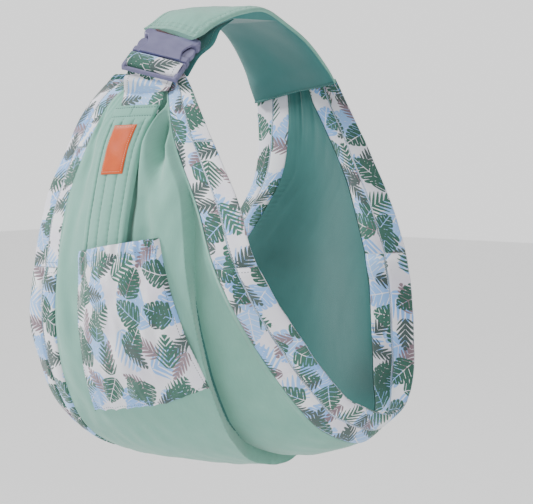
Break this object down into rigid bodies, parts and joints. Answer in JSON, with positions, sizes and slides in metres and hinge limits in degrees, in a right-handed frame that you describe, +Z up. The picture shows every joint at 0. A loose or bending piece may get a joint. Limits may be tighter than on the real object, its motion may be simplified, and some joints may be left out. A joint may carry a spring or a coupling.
{
  "type": "soft baby carrier",
  "caption": "One-shoulder fabric baby sling with a padded shoulder, a side-release buckle, an adjusting strap on a quilted yoke, a front pocket and wide printed rails.",
  "frame": {"origin": "on the flat underside of the shoulder pad at the top of its arch, where the wearer's shoulder carries it", "axes": "+Z up as worn, -Y to the wearer's front where the buckle and pocket are, +X along the body opening to the side the near rail borders"},
  "size_m": [0.3724, 0.3738, 0.5596],
  "materials": {
    "sage_cotton": "soft woven cotton, matt",
    "teal_lining": "soft woven cotton in shade, matt",
    "leaf_print": "white cotton with a printed leaf pattern",
    "foam": "wadding inside the shoulder pad",
    "label_leather": "smooth, blank",
    "buckle_plastic": "moulded acetal, satin",
    "webbing": "narrow woven webbing"
  },
  "bodies": {
    "sling": {"main_panel": "sage_cotton", "panel_lining": "teal_lining", "near_rail_front": "leaf_print", "far_rail_front": "leaf_print", "near_rail_seat": "leaf_print", "far_rail_seat": "leaf_print", "near_rail_back": "leaf_print", "far_rail_back": "leaf_print", "gather_binding": "leaf_print", "shoulder_pad_cover": "sage_cotton", "shoulder_pad_foam": "foam", "shoulder_pad_lining": "teal_lining", "pad_hem": "sage_cotton", "buckle_flap": "teal_lining", "quilted_yoke": "sage_cotton", "leather_label": "label_leather", "pocket_panel": "leaf_print", "pocket_hem": "leaf_print", "socket_webbing": "webbing", "buckle_socket": "buckle_plastic", "adjust_strap": "leaf_print"},
    "plug": {"buckle_plug": "buckle_plastic", "adjust_strap_wrap": "leaf_print"},
    "arm_near": {"release_arm_near": "buckle_plastic"},
    "arm_far": {"release_arm_far": "buckle_plastic"}
  },
  "joints": [
    {"name": "plug_release", "type": "slide", "parent": "sling", "child": "plug", "axis": [0.2229, -0.798, -0.5599], "range_m": [0, 0.034], "deforming": ["release_arm_near", "release_arm_far"]},
    {"name": "arm_near_press", "type": "hinge", "parent": "plug", "child": "arm_near", "pos_m": [0.03071, -0.1279, -0.05093], "axis": [0.4176, -0.4409, 0.7945], "range_deg": [0, 12], "stiffness_Nm_per_rad": 2},
    {"name": "arm_far_press", "type": "hinge", "parent": "plug", "child": "arm_far", "pos_m": [-0.00364, -0.14393, -0.04176], "axis": [-0.4176, 0.4409, -0.7945], "range_deg": [0, 12], "stiffness_Nm_per_rad": 2}
  ]
}
